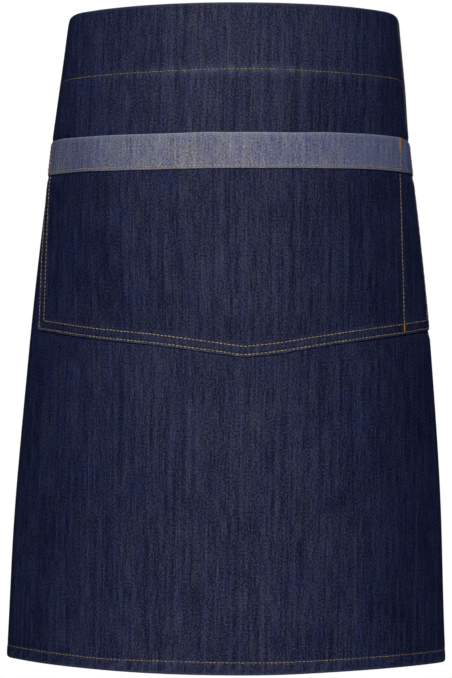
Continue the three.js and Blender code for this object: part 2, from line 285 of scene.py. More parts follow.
# a mesh of points in millimetres and groups of faces with equal corners, with its map and its marks
def putMesh(name, points, faces, loopPlace=None, marks=None, materials=(), materialOf=None, smooth=True):
    mesh = bpy.data.meshes.new(name)
    faces = [np.asarray(group, np.int32) for group in faces]
    corners = np.concatenate([group.ravel() for group in faces])
    sizes = np.concatenate([np.full(len(group), group.shape[1], np.int32) for group in faces])
    mesh.vertices.add(len(points))
    mesh.vertices.foreach_set("co", (np.asarray(points) / 1000).ravel())
    mesh.loops.add(len(corners))
    mesh.loops.foreach_set("vertex_index", corners)
    mesh.polygons.add(len(sizes))
    mesh.polygons.foreach_set("loop_start", np.concatenate([[0], np.cumsum(sizes)[:-1]]).astype(np.int32))
    mesh.update(calc_edges=True)
    if loopPlace is not None:
        layer = mesh.uv_layers.new(name="clothPlace")
        layer.data.foreach_set("uv", loopPlace(corners).ravel())
    for markName, values in (marks or {}).items():
        attribute = mesh.attributes.new(markName, "FLOAT", "POINT")
        attribute.data.foreach_set("value", np.asarray(values, np.float32).ravel())
    for material in materials:
        mesh.materials.append(material)
    if materialOf is not None:
        mesh.polygons.foreach_set("material_index", np.asarray(materialOf, np.int32))
    mesh.polygons.foreach_set("use_smooth", np.full(len(sizes), smooth))
    mesh.validate()
    mesh.update()
    piece = bpy.data.objects.new(name, mesh)
    bpy.context.scene.collection.objects.link(piece)
    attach(piece, "root")
    return piece


# a closed wall of cloth from two grids of points [row, column], with four rims; the outer grid
# shows the cloth's right side and the inner grid its wrong side
def putWall(name, outer, inner, across, down, wear, rightSide, wrongSide, greyLitBlueShaded=0.5, faded=0.0):
    rows, columns = outer.shape[:2]
    index = np.arange(rows * columns).reshape(rows, columns)
    o, n = index, index + rows * columns

    def quads(a, b, c, d):
        return np.stack([a.ravel(), b.ravel(), c.ravel(), d.ravel()], -1)
    outerFaces = quads(o[:-1, :-1], o[1:, :-1], o[1:, 1:], o[:-1, 1:])
    innerFaces = quads(n[:-1, :-1], n[:-1, 1:], n[1:, 1:], n[1:, :-1])
    rims = np.concatenate([
        quads(o[0, :-1], o[0, 1:], n[0, 1:], n[0, :-1]),
        quads(o[-1, :-1], n[-1, :-1], n[-1, 1:], o[-1, 1:]),
        quads(o[:-1, 0], n[:-1, 0], n[1:, 0], o[1:, 0]),
        quads(o[:-1, -1], o[1:, -1], n[1:, -1], n[:-1, -1]),
    ])
    place = np.stack(np.broadcast_arrays(across, -np.asarray(down, float)), -1).reshape(-1, 2) / 1000
    place = np.concatenate([place, place])
    marks = {name: np.tile(np.broadcast_to(values, outer.shape[:2]).ravel(), 2)
             for name, values in (("wear", wear), ("greyLitBlueShaded", greyLitBlueShaded), ("faded", faded))}
    faces = np.concatenate([outerFaces, innerFaces, rims])
    materialOf = np.concatenate([np.zeros(len(outerFaces)), np.ones(len(innerFaces)), np.zeros(len(rims))])
    return putMesh(name, np.concatenate([outer.reshape(-1, 3), inner.reshape(-1, 3)]), [faces],
                   lambda corners: place[corners], marks, [rightSide, wrongSide], materialOf)


# even positions with the given ends, at most a step apart
def evenly(start, end, step):
    return np.linspace(start, end, max(2, int(math.ceil(abs(end - start) / step)) + 1))


# all the given positions in rising order, without any closer than 0.05 mm to the one before
def inOrder(*groups):
    values = np.unique(np.round(np.concatenate([np.atleast_1d(g) for g in groups]), 3))
    return values[np.concatenate([[True], np.diff(values) > 0.05])]


# Materials

def newGroup(name, inputs, outputs):
    group = bpy.data.node_groups.new(name, "ShaderNodeTree")
    for label, kind, value in inputs:
        socket = group.interface.new_socket(label, in_out="INPUT", socket_type=kind)
        if value is not None:
            socket.default_value = value
    for label, kind in outputs:
        group.interface.new_socket(label, in_out="OUTPUT", socket_type=kind)
    tree = group.nodes
    return group, tree.new("NodeGroupInput"), tree.new("NodeGroupOutput")


def mathNode(tree, operation, first, second=None, third=None, clamp=False):
    node = tree.nodes.new("ShaderNodeMath")
    node.operation = operation
    node.use_clamp = clamp
    for socket, value in zip(node.inputs, (first, second, third)):
        if value is None:
            continue
        if isinstance(value, (int, float)):
            socket.default_value = value
        else:
            tree.links.new(value, socket)
    return node.outputs[0]


def scaledPlace(tree, place, scale, shift=(0, 0, 0)):
    node = tree.nodes.new("ShaderNodeMapping")
    tree.links.new(place, node.inputs["Vector"])
    node.inputs["Scale"].default_value = scale
    node.inputs["Location"].default_value = shift
    return node.outputs["Vector"]


def noiseNode(tree, place, detail=2.0, roughness=0.5):
    node = tree.nodes.new("ShaderNodeTexNoise")
    node.inputs["Scale"].default_value = 1.0
    node.inputs["Detail"].default_value = detail
    node.inputs["Roughness"].default_value = roughness
    tree.links.new(place, node.inputs["Vector"])
    return node.outputs["Fac"]


def spread(tree, value, low, high, newLow=0.0, newHigh=1.0):
    node = tree.nodes.new("ShaderNodeMapRange")
    for label, number in (("From Min", low), ("From Max", high), ("To Min", newLow), ("To Max", newHigh)):
        node.inputs[label].default_value = number
    tree.links.new(value, node.inputs["Value"])
    return node.outputs["Result"]


def mixColour(tree, share, first, second):
    node = tree.nodes.new("ShaderNodeMix")
    node.data_type = "RGBA"
    for socket, value in ((node.inputs[0], share), (node.inputs[6], first), (node.inputs[7], second)):
        if isinstance(value, (int, float, tuple)):
            socket.default_value = value
        else:
            tree.links.new(value, socket)
    return node.outputs[2]


# the yarns of denim seen from one side, all over the cloth place in metres: warp streaks, slubs, a
# heather of short flecks and a slow wash mottle are noises, and the twill's ribs are the sine of a
# slanting distance; the tone and the height are their weighted sums
def makeYarns():
    weights = ("Streaks", "Flecks", "Ribs", "Mottle")
    group, entry, end = newGroup(
        "denimYarns",
        [("Place", "NodeSocketVector", None)] + [(label, "NodeSocketFloat", 1.0) for label in weights],
        [(label, "NodeSocketFloat") for label in ("Tone", "Height", "Tint")])
    place = entry.outputs["Place"]
    streaks, flecks, ribs, mottled = (entry.outputs[label] for label in weights)

    # the scale is in repeats for each metre, across and along the warp
    def layer(scale, shift, detail, low, newLow=-1):
        noise = noiseNode(group, scaledPlace(group, place, scale, shift), detail, 0.6)
        return spread(group, noise, low, 1 - low, newLow, 1)

    def times(first, second):
        return mathNode(group, "MULTIPLY", first, second)

    def timesPlus(first, second, third, clamp=False):
        return mathNode(group, "MULTIPLY_ADD", first, second, third, clamp)
    warp = layer((820, 60, 1), (0, 0, 0), 2.0, 0.3)
    slub = layer((300, 8, 1), (3, 7, 0), 2.0, 0.32)
    fleck = layer((760, 700, 1), (9, 2, 0), 1.0, 0.3)
    mottle = layer((26, 17, 1), (1, 5, 0), 3.0, 0.3)
    yarnTint = layer((520, 110, 1), (4, 4, 0), 1.0, 0.3, 0)
    slowTint = layer((75, 24, 1), (8, 1, 0), 2.0, 0.3, 0)
    parts = group.nodes.new("ShaderNodeSeparateXYZ")
    group.links.new(place, parts.inputs[0])
    acrossWarp, alongWarp = parts.outputs[0], parts.outputs[1]
    slant = mathNode(group, "ADD", times(acrossWarp, 2 * math.pi * 800), times(alongWarp, 2 * math.pi * 520))
    rib = mathNode(group, "SINE", slant)
    yarn = mathNode(group, "SINE", times(acrossWarp, 2 * math.pi * 2200))
    tone = timesPlus(slub, times(streaks, 0.7), times(warp, streaks))
    for part, weight in ((fleck, flecks), (rib, ribs), (mottle, mottled)):
        tone = timesPlus(part, weight, tone)
    height = timesPlus(warp, 0.5, times(rib, 0.5))
    for part, weight in ((yarn, 0.25), (fleck, 0.35), (slub, 0.45)):
        height = timesPlus(part, weight, height)
    tint = timesPlus(yarnTint, 0.55, times(slowTint, 0.45), True)
    for label, value in (("Tone", tone), ("Height", height), ("Tint", tint)):
        group.links.new(value, end.inputs[label])
    return group


# where edges and ridges have rubbed pale: the piece's wear mark, broken up by short streaks
def makeRub():
    group, entry, end = newGroup(
        "rubbedEdge",
        [("Place", "NodeSocketVector", None), ("Wear", "NodeSocketFloat", 0.0),
         ("Strength", "NodeSocketFloat", 1.0)],
        [("Share", "NodeSocketFloat")])
    place = scaledPlace(group, entry.outputs["Place"], (420, 420, 1), (5, 5, 0))
    broken = spread(group, noiseNode(group, place, 3.0, 0.65), 0.32, 0.72, 0.25, 1.35)
    share = mathNode(group, "MULTIPLY", entry.outputs["Wear"], broken)
    share = mathNode(group, "MULTIPLY", share, entry.outputs["Strength"], clamp=True)
    group.links.new(share, end.inputs["Share"])
    return group


denimYarns = makeYarns()
rubbedEdge = makeRub()

# colours are linear light
denimLooks = {
    "indigoDenim": {
        "dark": (0.002, 0.0035, 0.023, 1),
        "blueYarn": (0.040, 0.053, 0.150, 1),
        "greyYarn": (0.080, 0.078, 0.106, 1),
        "rubbed": (0.12, 0.145, 0.22, 1),
        "middle": 0.26, "contrast": 0.36, "tintSpread": 1.3, "wear": 0.8,
        "streaks": 0.66, "flecks": 1.0, "ribs": 0.12, "mottle": 0.25,
        "bump": 0.25, "bumpDepth": 0.0006, "roughness": 0.72, "specular": 0.2,
    },
    "reversedDenim": {
        "dark": (0.050, 0.056, 0.108, 1),
        "blueYarn": (0.275, 0.300, 0.49, 1),
        "greyYarn": (0.47, 0.43, 0.37, 1),
        "rubbed": (0.42, 0.44, 0.50, 1),
        "middle": 0.38, "contrast": 0.3, "tintSpread": 1.4, "wear": 0.5,
        "streaks": 0.5, "flecks": 0.9, "ribs": 0.15, "mottle": 0.15,
        "bump": 0.3, "bumpDepth": 0.0006, "roughness": 0.75, "specular": 0.2,
    },
}


def newMaterial(name):
    material = bpy.data.materials.new(name)
    material.use_nodes = True
    tree = material.node_tree
    place = tree.nodes.new("ShaderNodeUVMap")
    place.uv_map = "clothPlace"
    return material, tree, tree.nodes["Principled BSDF"], place.outputs[0]


def readMark(tree, name):
    node = tree.nodes.new("ShaderNodeAttribute")
    node.attribute_name = name
    return node.outputs["Fac"]


def dressShader(tree, shader, colour, height, looks):
    tree.links.new(colour, shader.inputs["Base Color"])
    bump = tree.nodes.new("ShaderNodeBump")
    bump.inputs["Strength"].default_value = looks["bump"]
    bump.inputs["Distance"].default_value = looks["bumpDepth"]
    tree.links.new(height, bump.inputs["Height"])
    tree.links.new(bump.outputs[0], shader.inputs["Normal"])
    shader.inputs["Roughness"].default_value = looks["roughness"]
    shader.inputs["Specular IOR Level"].default_value = looks["specular"]


# denim: the yarns' tone mixes the dark ground with the yarn's colour, which goes from blue to grey by its
# tint and the piece's mark of painted light and shade tint; faded places are lighter and worn ones are
# rubbed pale
def makeDenim(name, looks):
    material, tree, shader, place = newMaterial(name)
    yarns, rub = tree.nodes.new("ShaderNodeGroup"), tree.nodes.new("ShaderNodeGroup")
    yarns.node_tree, rub.node_tree = denimYarns, rubbedEdge
    for label in ("Streaks", "Flecks", "Ribs", "Mottle"):
        yarns.inputs[label].default_value = looks[label.lower()]
    rub.inputs["Strength"].default_value = looks["wear"]
    tree.links.new(place, yarns.inputs["Place"])
    tree.links.new(place, rub.inputs["Place"])
    tree.links.new(readMark(tree, "wear"), rub.inputs["Wear"])
    middle = mathNode(tree, "ADD", readMark(tree, "faded"), looks["middle"])
    share = mathNode(tree, "MULTIPLY_ADD", yarns.outputs["Tone"], looks["contrast"], middle, clamp=True)
    tint = mathNode(tree, "SUBTRACT", yarns.outputs["Tint"], 0.5)
    tint = mathNode(tree, "MULTIPLY_ADD", tint, looks["tintSpread"], readMark(tree, "greyLitBlueShaded"), clamp=True)
    yarnColour = mixColour(tree, tint, looks["blueYarn"], looks["greyYarn"])
    colour = mixColour(tree, share, looks["dark"], yarnColour)
    colour = mixColour(tree, rub.outputs["Share"], colour, looks["rubbed"])
    dressShader(tree, shader, colour, yarns.outputs["Height"], looks)
    return material


threadFinish = {"bump": 0.5, "bumpDepth": 0.0001, "roughness": 0.6, "specular": 0.35, "plyContrast": 0.28}
threadLooks = {
    "mustardThread": {"dark": (0.075, 0.045, 0.022, 1), "light": (0.74, 0.56, 0.28, 1)},
    "mustardThreadWorn": {"dark": (0.085, 0.050, 0.020, 1), "light": (0.52, 0.35, 0.14, 1)},
    "orangeThread": {"dark": (0.62, 0.25, 0.008, 1), "light": (1.0, 0.50, 0.02, 1)},
    # painted shade: dark spots of shaded cloth round a thread, where it dips into its needle hole
    "paintedHoleShade": {"dark": (0.004, 0.005, 0.014, 1), "light": (0.010, 0.012, 0.026, 1)},
    "paleLint": {"dark": (0.30, 0.31, 0.33, 1), "light": (0.58, 0.59, 0.60, 1)},
}


# twisted thread: slanting plies, sin(2 pi (3 u + v)) of the stitch's own map, and a shade mark for each
# stitch, which holds the stitch's random tone and its painted highlight and shade
def makeThread(name, looks):
    material, tree, shader, place = newMaterial(name)
    parts = tree.nodes.new("ShaderNodeSeparateXYZ")
    tree.links.new(place, parts.inputs[0])
    turn = mathNode(tree, "ADD", mathNode(tree, "MULTIPLY", parts.outputs[0], 2 * math.pi * 3),
                    mathNode(tree, "MULTIPLY", parts.outputs[1], 2 * math.pi))
    ply = mathNode(tree, "SINE", turn)
    shade = readMark(tree, "shade")
    share = mathNode(tree, "MULTIPLY_ADD", ply, threadFinish["plyContrast"], shade, clamp=True)
    dressShader(tree, shader, mixColour(tree, share, looks["dark"], looks["light"]), ply, threadFinish)
    return material


indigo, reversedSide = (makeDenim(name, looks) for name, looks in denimLooks.items())
threads = {name: makeThread(name, looks) for name, looks in threadLooks.items()}
print("materials made")

# The panel, with its facing turned in at the top and its hem turned up at the foot

# the band's row sags away from the middle
def bandLineAt(across):
    return panelSizes["bandLine"] + panelSizes["bandSag"] * (1 - bell(across - 5, 45))


# the hem's row rises left of the middle and dips further out
def hemLineAt(across):
    return panelSizes["hemLine"] + bellsAt(across, [(-0.5, -42, 45), (0.8, -108, 30)])


# small relief of the panel: a groove -g bell(distance) under each row of stitches, puckers beside it,
# and the rope twist, a sine along the hem, between the hem's stitches and its edge
def panelRelief(across, down):
    sizes = panelSizes
    band = down - bandLineAt(across)
    relief = -sizes["bandGroove"] * bell(band, 1.3)
    relief = relief + sizes["bandPucker"] * wander(across, 7.0, 3) * bell(band, 5.0)
    hem = down - hemLineAt(across)
    rope = np.sin(2 * np.pi * (across + 0.8 * hem + 5 * wander(across, 45, 5)) / sizes["ropePitch"])
    rope = rope * (0.55 + 0.45 * wander(across, 70, 6))
    fromFoot = down - wornForm["apronLength"]
    inHem = easing((hem + 1.5) / 3.0) * (1 - 0.6 * easing((fromFoot + 2.0) / 2.0))
    relief = relief - sizes["hemGroove"] * bell(hem, 1.4) + sizes["ropeDepth"] * rope * inHem
    relief = relief + sizes["hemPucker"] * wander(across, 9.0, 8) * bell(hem + 3.5, 4.0)
    side = np.abs(across) - sizes["sideLine"]
    sideRope = sizes["ropeDepth"] * np.sin(2 * np.pi * (down + 0.8 * side) / sizes["sideRopePitch"])
    relief = relief - sizes["sideGroove"] * bell(side, 1.2) + sideRope * easing((side + 1.0) / 2.0)
    return relief + sizes["topWave"] * wander(across, 34.0, 9) * bell(down, 9.0)


# painted light and shade tint: the front middle, facing the light, is painted greyer and the sides, turning
# from it, bluer
def litFrontGrey(across):
    return 0.2 + 0.42 * bell(across + 5, 110)


# how much thicker the cloth is over the turned side hems
def sideExtraAt(across):
    inTurn = np.abs(across) - halfPanel + panelSizes["sideTurn"]
    return panelSizes["sideExtra"] * easing((inTurn + 0.6) / 1.2)


# the rows of a face as two grids, the lift and the place down, from pairs of them for each row
def rowGrids(rows, like):
    return [np.stack([np.broadcast_to(row[k], like.shape)[0] for row in rows]) for k in (0, 1)]


def makePanel():
    sizes = panelSizes
    length = wornForm["apronLength"]
    wall, gap = sizes["wall"], sizes["foldGap"]
    half = wall + gap / 2
    # columns: fine in front, coarser round the back, close together over the side hems
    one = inOrder(evenly(0, 228, 2.4), evenly(228, 336, 4.0), [337.5, 338.6, 339.4, 340.1, 340.7, 341.3],
                  [342, 343.5, 345.5, 347.5, 348.6, 349.1, 349.5, 349.8, halfPanel])
    across = inOrder(-one, one)[None, :]
    # the chain of rows runs from the facing's foot up over the top edge and down to the turned hem,
    # close together beside each row of stitches
    facing = np.concatenate([[51, 50.5, 49.9, 49.3, 48.2, 46.5], np.arange(43, 3, -5.0)])
    arc = np.linspace(0, np.pi, 7)
    body = inOrder(half, [2, 3.2, 5, 8], evenly(12, 44, 4.0), [46.5, 48.2, 49.3, 49.9, 50.5, 51.6, 53.5],
                   evenly(57, 92.5, 5.2), [94.6, 96.2, 97.6, 99, 100.6], evenly(103, 478, 5.2),
                   [481.5, 485, 487.5, 489.2, 490.2, 491, 491.8],
                   [492.8, 494, 495.3, 496.6, 497.8, length - half])[1:-1]
    turned = np.array([497.5, 495.5, 493.5, 491.8, 491, 490.2, length - sizes["hemTurn"]])
    extra = sideExtraAt(across)

    # one face: near is its lift on the body, and its folds go depth deep and reach past their middle
    def faceRows(near, depth, reach):
        rows = [(near - depth, down) for down in facing]
        rows += [(near - depth / 2 * (1 + np.cos(a)), half - reach * math.sin(a)) for a in arc]
        rows += [(near, down) for down in body]
        rows += [(near - depth / 2 * (1 - np.cos(a)), length - half + reach * math.sin(a)) for a in arc]
        rows += [(near - depth, down) for down in turned]
        return rowGrids(rows, across)
    outerLift, outerDown = faceRows(0 * extra, 2 * wall + gap + extra, half)
    innerLift, innerDown = faceRows(-(wall + extra), gap, gap / 2)
    rounding = 0.8 * roundingAt(halfPanel - np.abs(across))
    middle = (outerLift + innerLift) / 2
    outerLift, innerLift = (lift + (middle - lift) * rounding for lift in (outerLift, innerLift))
    rope = panelRelief(across, outerDown)
    outer = clothPoint(across, outerDown, outerLift + rope)
    inner = clothPoint(across, innerDown, innerLift + panelRelief(across, innerDown))
    hemZone = easing((outerDown - 489.5) / 2.0)
    # edges, the rope's ridges, the rows of stitches and the lines of the pocket's sides rub pale
    bandRub = (0.4 + 0.4 * wander(across, 9, 51)) * bell(across + 5, 90)
    wear = (0.55 * bell(outerDown, 1.2) + 0.8 * bell(outerDown - length, 1.3)
            + 0.4 * hemZone * np.clip(rope / sizes["ropeDepth"], 0, 1)
            + 0.3 * bell(outerDown - hemLineAt(across), 0.9)
            + bandRub * bell(outerDown - bandLineAt(across), 3.2)
            + 0.45 * bell(np.abs(across) - halfPanel, 1.2))
    # the map runs along the cloth, so the turned layers go on from the edge they turn round
    along = np.concatenate([-facing, 0 * arc, body, length + 0 * arc, 2 * length - turned])
    panel = putWall("apronCloth", outer, inner, across, np.broadcast_to(along[:, None], outerDown.shape),
                    wear, indigo, reversedSide, litFrontGrey(across))
    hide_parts("apron_panel", "waist_facing")
    return panel


apronCloth = makePanel()
print("panel made")

# The pocket and its cuff

# heights, middles and widths of the two bows in the foot's arms
footBows = [(1.2, 24, 32), (-0.9, -66, 34)]


# the foot: two straight arms from the tip up to the sides, slightly bowed
def pocketBottom(across):
    sizes = pocketSizes
    tip = sizes["tipShift"]
    reach = np.where(across < tip, halfPocket + tip, halfPocket - tip)
    share = np.abs(across - tip) / reach
    rise = (sizes["middleHeight"] - sizes["sideHeight"]) * share
    return sizes["top"] + sizes["middleHeight"] - rise + bellsAt(across, footBows)


# how far the pocket stands off the panel: full between the seams, closing towards its foot
def gapeAt(across, down):
    sizes = pocketSizes
    isMain = across < dividerAt
    start, end = np.where(isMain, -pocketSeam, dividerAt), np.where(isMain, dividerAt, pocketSeam)
    most = np.where(isMain, sizes["mainGape"], sizes["slotGape"])
    share = (across - start) / (end - start)
    depth = np.clip((down - sizes["top"]) / (pocketBottom(across) - sizes["seamInset"] - sizes["top"]), 0, 1)
    return most * easing(np.minimum(share, 1 - share) / sizes["gapeEase"]) * (1 - depth ** 3)


# the panel's place under a pocket place: the worn pocket is drawn in a little at both sides
def wornAcross(across, down):
    sizes = pocketSizes
    share = np.clip((down - sizes["top"]) / sizes["middleHeight"], 0, 1)
    left = sizes["drawnLeft"] + (sizes["drawnLeftFoot"] - sizes["drawnLeft"]) * share
    right = sizes["drawnRight"] + (sizes["drawnRightFoot"] - sizes["drawnRight"]) * share
    slot = sizes["slotDrawnFoot"] * share * easing((across - dividerAt) / (halfPocket - dividerAt))
    return across * (1 - np.where(across < 0, left, right) / halfPocket) - slot


pocketTilt = {
    "sag": 0.4,             # the top sags here and rises towards both sides
    "sagAt": -62.0,
    "sagSpan": 35.0,
    "leftRise": 0.7,
    "leftFrom": 95.0,
    "leftSpan": 50.0,
    "rightRise": 1.0,
    "rightFrom": 40.0,
    "rightSpan": 90.0,
    "fadeFrom": 130.0,      # down, where the tilt fades out
    "fadeSpan": 110.0,
}


# the worn pocket's top is tilted a little up at the right
def pocketPoint(across, down, lift):
    across, down = np.broadcast_arrays(across, down)
    sizes = pocketTilt
    tilt = (sizes["sag"] * bell(across - sizes["sagAt"], sizes["sagSpan"])
            - sizes["leftRise"] * easing((-across - sizes["leftFrom"]) / sizes["leftSpan"])
            - sizes["rightRise"] * easing((across - sizes["rightFrom"]) / sizes["rightSpan"]))
    fade = 1 - easing((down - sizes["fadeFrom"]) / sizes["fadeSpan"])
    return clothPoint(wornAcross(across, down), down + tilt * fade, lift)


# the distance in from the pocket's nearest sewn edge, and the distance along that edge
def pocketEdge(across, down):
    toSide, toFoot = halfPocket - np.abs(across), pocketBottom(across) - down
    return np.minimum(toSide, toFoot), np.where(toSide < toFoot, down + 40, across)


# the turned-in border stands up at the edge and ends just inside the inner row
def borderAt(fromEdge):
    return pocketSizes["borderRise"] * (1 - easing((fromEdge - 8.6) / 2.2))


# small relief of the pocket: grooves under the twin rows and the divider, ropes between the rows
# and puckers inside them, on the turned-in border
def pocketRelief(across, down):
    sizes = pocketSizes
    edge, along = pocketEdge(across, down)
    relief = -0.28 * bell(edge - sizes["outerLine"], 1.0) - 0.3 * bell(edge - sizes["innerLine"], 1.1)
    rope = np.sin(2 * np.pi * (along + 0.5 * edge + 2 * wander(along, 50, 11)) / 7.6)
    relief = relief + 0.17 * rope * bell(edge - 4.8, 2.6) + borderAt(edge)
    relief = relief + 0.16 * wander(along, 8.0, 12) * bell(edge - 10.5, 3.5)
    divider = across - dividerAt
    dividerRow = -0.35 * bell(divider, 1.2) + 0.14 * wander(down, 8.0, 14) * bell(divider, 4.5)
    return relief + dividerRow * easing(edge / 3.0)


def pocketLift(across, down):
    return pocketSizes["layerGap"] + gapeAt(across, down) + panelRelief(wornAcross(across, down), down)


def makePocket():
    sizes = pocketSizes
    edgeLines = np.array([0, 0.25, 0.6, 1.1, 1.6, 2.1, 3.0, 4.6, 6.2, 7.4, 8.0, 8.6, 9.6, 11.0, 13.0])
    spacedAcross = evenly(-halfPocket + 15, halfPocket - 15, 2.3)
    nearDivider = dividerAt + np.array([-2.4, -1.2, -0.6, 0, 0.6, 1.2, 2.4])
    spacedAcross = spacedAcross[np.abs(spacedAcross - dividerAt) > 3.2]
    across = inOrder(-halfPocket + edgeLines, halfPocket - edgeLines, spacedAcross, nearDivider)[None, :]
    bottom = pocketBottom(across)
    levels = np.concatenate([[100, 105.5, 112, 118], [121.7, 122.8, 123.9, 124.9, 126.1, 127.6, 129.8],
                             evenly(132.5, 200, 3.1)])
    rows = [level + 0 * bottom for level in levels]
    lastUpper, firstLower = levels[-1], bottom - edgeLines[-1]
    rows += [lastUpper + (firstLower - lastUpper) * share for share in np.linspace(0, 1, 14)[1:-1]]
    rows += [bottom - line for line in edgeLines[::-1]]
    down = np.stack([row[0] for row in rows])
    edge, _ = pocketEdge(across, down)
    rounding = roundingAt(edge)
    base = pocketLift(across, down)
    thick = sizes["wall"] + pocketRelief(across, down)
    outer = pocketPoint(across, down, base + thick * (1 - 0.72 * rounding))
    inner = pocketPoint(across, down, base + thick * 0.12 * rounding)
    corner = bell(np.hypot(np.abs(across) - halfPocket, down - bottom), 6.0)
    wear = (1.25 * bell(edge - 0.2, 0.8) * (0.7 + 0.3 * wander(across + down, 12, 21))
            + 0.1 * bell(edge - 4.6, 1.6) + 0.1 * bell(edge - 9.4, 1.2) + 0.8 * corner)
    wear = wear * easing((down - 123) / 6)
    pocket = putWall("pocketCloth", outer, inner, across + 900, down, wear, indigo, reversedSide,
                     litFrontGrey(across))
    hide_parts("pocket")
    return pocket


# the cuff's own small relief, and how far its edge sags over the pen slot
def cuffRelief(across, fromTop):
    sizes = pocketSizes
    groove = -0.3 * bell(fromTop - sizes["cuffLine"], 1.0)
    puckers = 0.2 * wander(across, 8.5, 31) * bell(fromTop - sizes["cuffLine"] + 3, 3.5)
    return groove + puckers + 0.22 * wander(across, 46, 33) * bell(fromTop - 14, 12)


# the cuff's outer face is drawn tight at its ends
def cuffOutAt(across):
    return pocketSizes["cuffOut"] - 0.25 * easing((np.abs(across) - 150) / 26)


def cuffSag(across):
    slot = np.clip((across - dividerAt) / (pocketSeam - dividerAt), 0, 1)
    return 1.4 * np.sin(np.pi * slot ** 0.8) ** 2 + 0.25 * wander(across, 70, 35)


def makeCuff():
    sizes = pocketSizes
    edgeLines = np.array([0, 0.3, 0.8, 1.6, 2.6, 4.4, 6.4, 8.0, 9.6, 12])
    spacedAcross = evenly(-halfPocket + 14.5, halfPocket - 14.5, 2.3)
    across = inOrder(-halfPocket + edgeLines, halfPocket - edgeLines, spacedAcross, dividerAt)[None, :]
    wall, height, turn = 0.9, sizes["cuffHeight"], 0.55
    gape = sizes["layerGap"] + gapeAt(across, np.full_like(across, sizes["top"]))
    # a lip inside the mouth, the fold over the top edge, and the band outside down to its turned foot
    lipOut, lipIn = np.maximum(-wall, 0.05 - gape), np.maximum(-0.1, 0.13 - gape)
    bandOut, bandIn = cuffOutAt(across), sizes["cuffIn"]
    arc, footArc = np.linspace(0, np.pi, 8), np.linspace(0, np.pi / 2, 4)[1:]
    lipRows = [5.6, 4.6, 3.0]
    bandRows = np.concatenate([evenly(1.9, 20, 2.2)[1:], [21.6, 22.8, 23.8, 24.7, 25.3, height - turn]])

    # one face; at its foot the turned-under cloth is thicker and round
    def faceRows(lip, band, foldReach, footReach):
        rows = [(lip, down) for down in lipRows]
        rows += [((lip + band) / 2 - (band - lip) / 2 * np.cos(a), 1.3 - foldReach * math.sin(a))
                 for a in arc]
        rows += [(band, down) for down in bandRows]
        rows += [(bandIn + (band - bandIn) * (0.35 + 0.65 * math.cos(a)),
                  height - turn + footReach * math.sin(a)) for a in footArc]
        return rowGrids(rows, across)
    outerLift, outerTop = faceRows(lipOut, bandOut, 1.3, turn)
    innerLift, innerTop = faceRows(lipIn, bandIn, 0.2, 0.5)
    rounding = 0.75 * roundingAt(halfPocket - np.abs(across))
    middle = (outerLift + innerLift) / 2
    outerLift, innerLift = (lift + (middle - lift) * rounding for lift in (outerLift, innerLift))

    def place(lift, fromTop):
        down = sizes["top"] + fromTop + cuffSag(across) * (1 - easing((fromTop - 2) / 20))
        ease = easing((lift - 0.5) / 1.0)
        relief = cuffRelief(across, fromTop) + borderAt(halfPocket - np.abs(across))
        return pocketPoint(across, down, pocketLift(across, down) + lift + ease * relief)
    outer, inner = place(outerLift, outerTop), place(innerLift, innerTop)
    wear = (0.7 * bell(outerTop, 1.2) + 0.65 * bell(outerTop - height, 1.0) + 0.2 * bell(outerTop - 23, 1.5)
            + 0.5 * bell(np.abs(across) - halfPocket, 1.0))
    along = np.concatenate([-np.array(lipRows), 0 * arc, bandRows, [height, height + 0.4, height + 0.8]])
    along = np.broadcast_to(along[:, None], outerTop.shape)
    # painted light and shade tint: the front middle, facing the light, is painted greyer and the ends bluer;
    # the right end is a little faded
    greyLitBlueShaded, faded = 0.12 + 0.52 * bell(across + 25, 95), 0.14 * easing((across - 60) / 80)
    cuff = putWall("pocketCuff", outer, inner, across + 1700, along, wear, reversedSide, indigo,
                   greyLitBlueShaded, faded)
    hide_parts("pocket_cuff")
    return cuff


pocketCloth = makePocket()
pocketCuff = makeCuff()
print("pocket and cuff made")

# Ties: straps sewn inside the band's ends, the knot and the hanging tails

tieSizes = {
    "width": 25.0,
    "wall": 1.8,
    "overlap": 30.0,
    "lift": -3.55,          # inside the side hems
    "knotWidth": 22.0,
    "knotHeight": 29.0,
    "knotDepth": 12.0,
    "tailLength": 300.0,
    "tailSpread": 7.0,
}


# the cross-section of a strap as matching outer and inner chains: flat faces with round edges
def strapProfile(width, wall):
    shares = np.concatenate([[0, 0.25, 0.6, 1.1, 1.7], evenly(2.6, width - 2.6, 2.0),
                             [width - 1.7, width - 1.1, width - 0.6, width - 0.25, width]])
    nearest = np.minimum(shares, width - shares)
    half = wall / 2 * (1 - 0.8 * roundingAt(nearest)) - 0.14 * bell(nearest - 2.2, 0.7)
    return shares, half, bell(nearest, 1.0)


